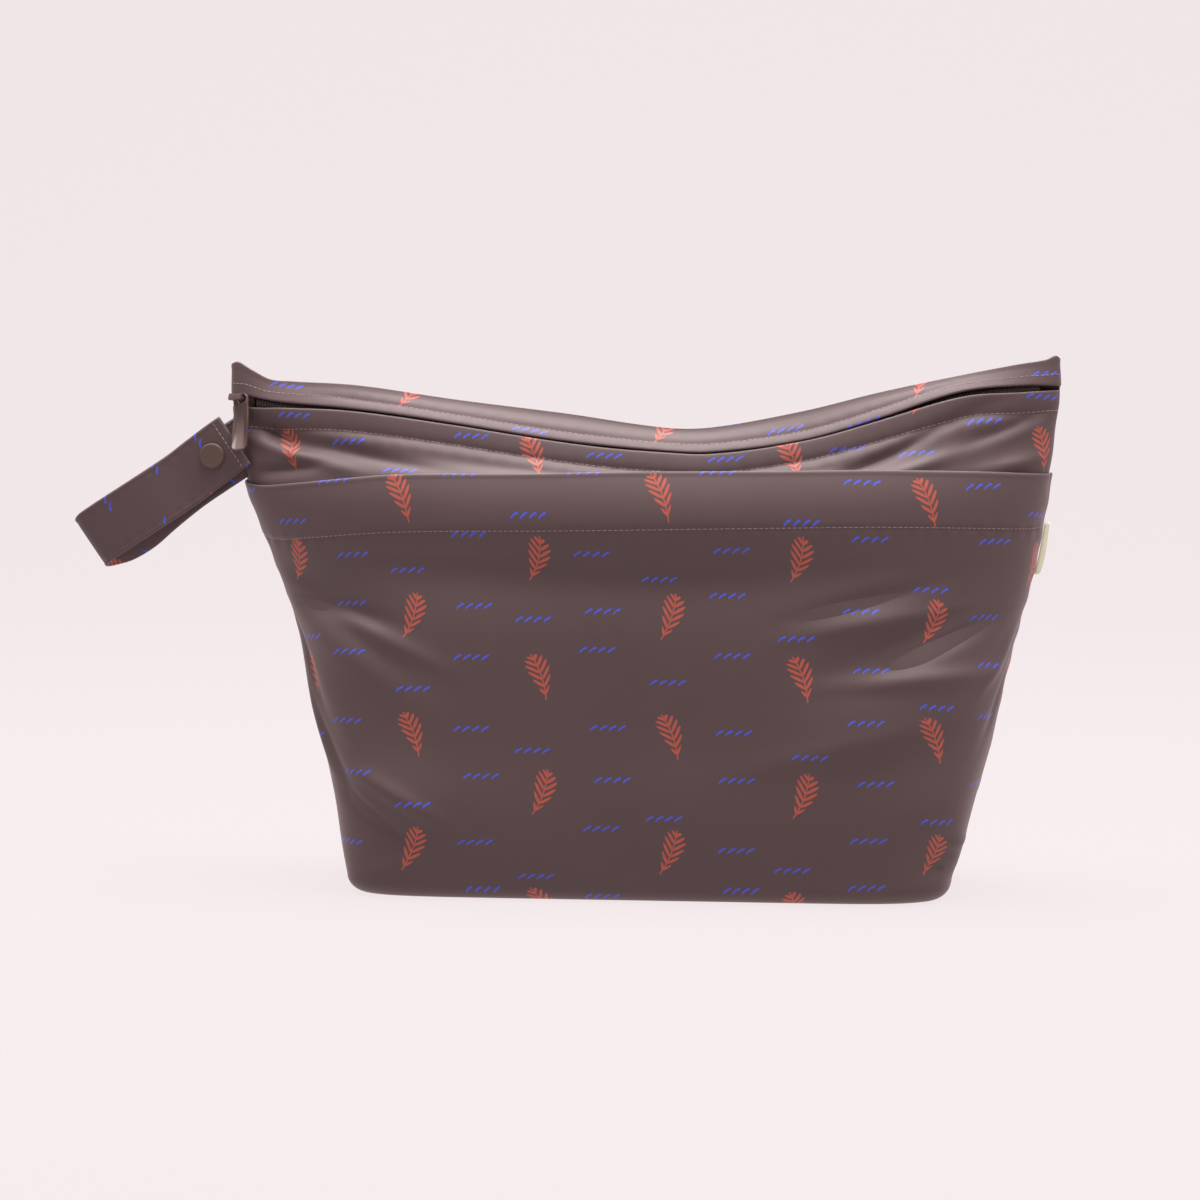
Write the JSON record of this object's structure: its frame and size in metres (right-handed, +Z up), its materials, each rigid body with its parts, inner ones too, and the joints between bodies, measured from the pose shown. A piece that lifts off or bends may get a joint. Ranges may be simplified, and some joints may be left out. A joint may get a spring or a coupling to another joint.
{
  "type": "cloth diaper wet bag",
  "caption": "Standing cloth wet bag with a zipped mouth, an open front pocket, and a looped strap closed by a press snap at the left side seam.",
  "frame": {"origin": "underside of the boxed base, on the middle of its length, 6 mm in front of the side seams", "axes": "+X along the front to the right, +Y to the back, +Z up"},
  "size_m": [0.4771, 0.1191, 0.257],
  "materials": {
    "print_cloth": "matte",
    "zip_cloth": "matte",
    "coil_plastic": "satin",
    "zip_metal": "satin",
    "snap_plastic": "matte",
    "tag_cloth": "matte"
  },
  "bodies": {
    "root": {"front_panel": "print_cloth", "pocket_panel": "print_cloth", "back_panel": "print_cloth", "zip_tape_upper": "zip_cloth", "zip_tape_lower": "zip_cloth", "zip_coil": "coil_plastic", "zip_slider": "zip_metal", "handle_strap": "print_cloth", "snap_cap_front": "snap_plastic", "snap_socket": "snap_plastic", "snap_stud": "snap_plastic", "snap_cap_back": "snap_plastic", "side_tag": "tag_cloth"},
    "pull": {"zip_pull": "zip_metal"}
  },
  "joints": [
    {"name": "pull_swing", "type": "hinge", "parent": "root", "child": "pull", "pos_m": [-0.19965, -0.00422, 0.23451], "axis": [-0.3007, -0.8771, 0.3746], "range_deg": [0, 72]}
  ]
}
